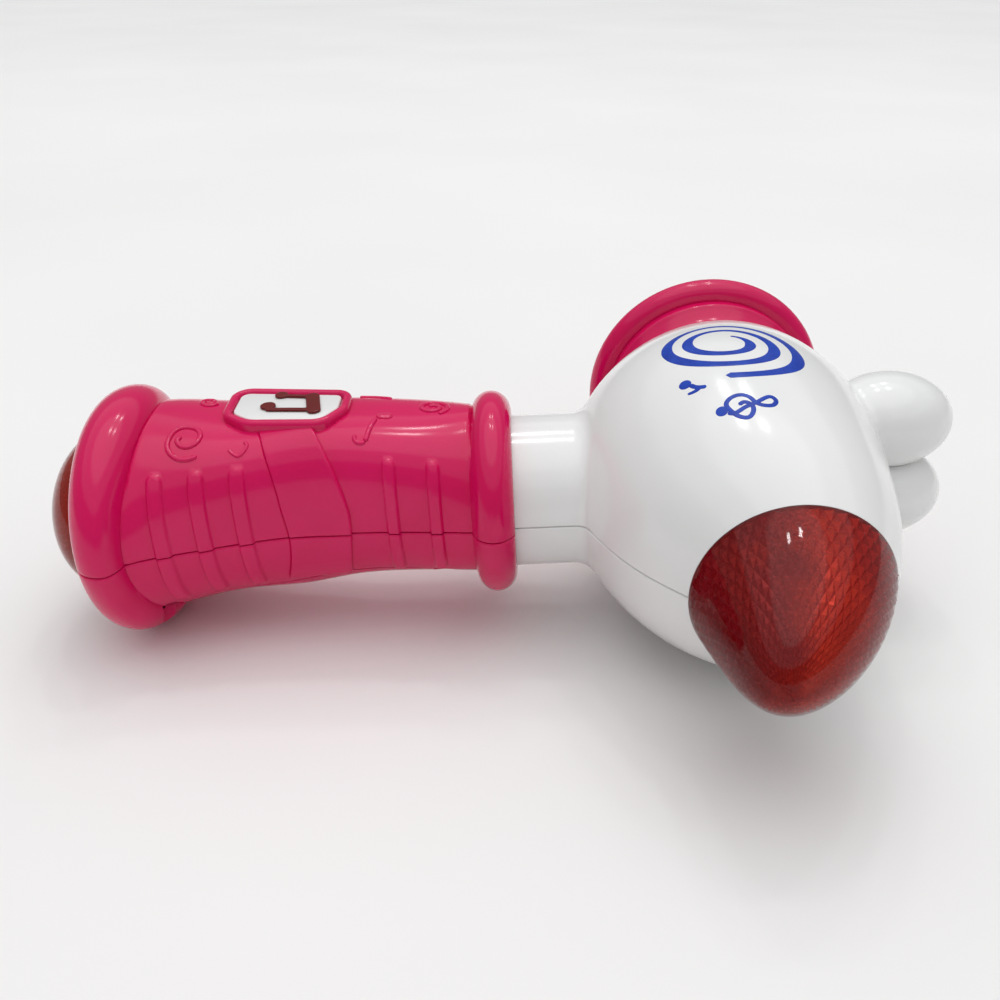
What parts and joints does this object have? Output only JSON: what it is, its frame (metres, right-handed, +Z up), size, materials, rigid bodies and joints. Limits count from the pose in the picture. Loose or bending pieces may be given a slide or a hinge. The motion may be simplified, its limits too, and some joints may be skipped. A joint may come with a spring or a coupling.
{
  "type": "toy hammer",
  "caption": "Light-and-sound toy hammer: pink grip with a music push button and battery door, white cross head with red lamp dome, rounded lobes and a flared speaker bell.",
  "frame": {"origin": "under the middle of the toy as it lies on a table on its belly and its butt ring", "axes": "+X along the grip towards the head, +Y along the head from the lamp dome towards the bell, +Z up; the grip dips 3.17 degrees towards its butt"},
  "size_m": [0.2522, 0.1564, 0.0859],
  "materials": {
    "pink_plastic": "glossy moulded",
    "white_plastic": "glossy moulded",
    "red_lens": "clear tinted polystyrene",
    "red_insert": "polished tinted",
    "circuit_board": "solder mask",
    "dark_parts": "matte",
    "steel": "nickel plated",
    "battery_jacket": "shrink wrap",
    "lamp_epoxy": "clear epoxy",
    "wire_black": "soft insulation",
    "wire_red": "soft insulation"
  },
  "bodies": {
    "toy": {"battery_1": "battery_jacket", "battery_2": "battery_jacket", "battery_cradle": "pink_plastic", "battery_wire_minus": "wire_black", "battery_wire_plus": "wire_red", "bell": "pink_plastic", "butt_led": "lamp_epoxy", "butt_led_board": "circuit_board", "butt_lens": "red_lens", "butt_light_wire": "wire_black", "capacitor": "dark_parts", "contact_bridge": "steel", "contact_minus": "steel", "contact_plus": "steel", "contact_spring_1": "steel", "contact_spring_2": "steel", "handle_lower_shell": "pink_plastic", "handle_screw_1": "steel", "handle_screw_2": "steel", "handle_screw_3": "steel", "handle_screw_4": "steel", "handle_upper_shell": "pink_plastic", "head_led_1": "lamp_epoxy", "head_led_2": "lamp_epoxy", "head_led_3": "lamp_epoxy", "head_led_board": "circuit_board", "head_lens": "red_lens", "head_light_wire": "wire_black", "head_lower_shell": "white_plastic", "head_reflector": "white_plastic", "head_screw_1": "steel", "head_screw_2": "steel", "head_screw_3": "steel", "head_screw_4": "steel", "head_upper_shell": "white_plastic", "main_circuit_board": "circuit_board", "sound_chip": "dark_parts", "speaker_cone": "dark_parts", "speaker_frame": "steel", "speaker_grille": "pink_plastic", "speaker_magnet": "dark_parts", "speaker_wire": "wire_black", "strike_sensor": "steel", "tact_switch": "dark_parts"},
    "button": {"button_cap": "white_plastic", "button_note": "red_insert", "tact_plunger": "dark_parts"},
    "battery_door": {"battery_door": "pink_plastic", "battery_door_screw": "steel"}
  },
  "joints": [
    {"name": "button_press", "type": "slide", "parent": "toy", "child": "button", "axis": [0.0553, 0, -0.9985], "range_m": [0, 0.0012], "stiffness_N_per_m": 1000, "springref_m": -0.0004},
    {"name": "battery_door_lift", "type": "slide", "parent": "toy", "child": "battery_door", "axis": [0.0553, 0, -0.9985], "range_m": [0, 0.025]}
  ]
}
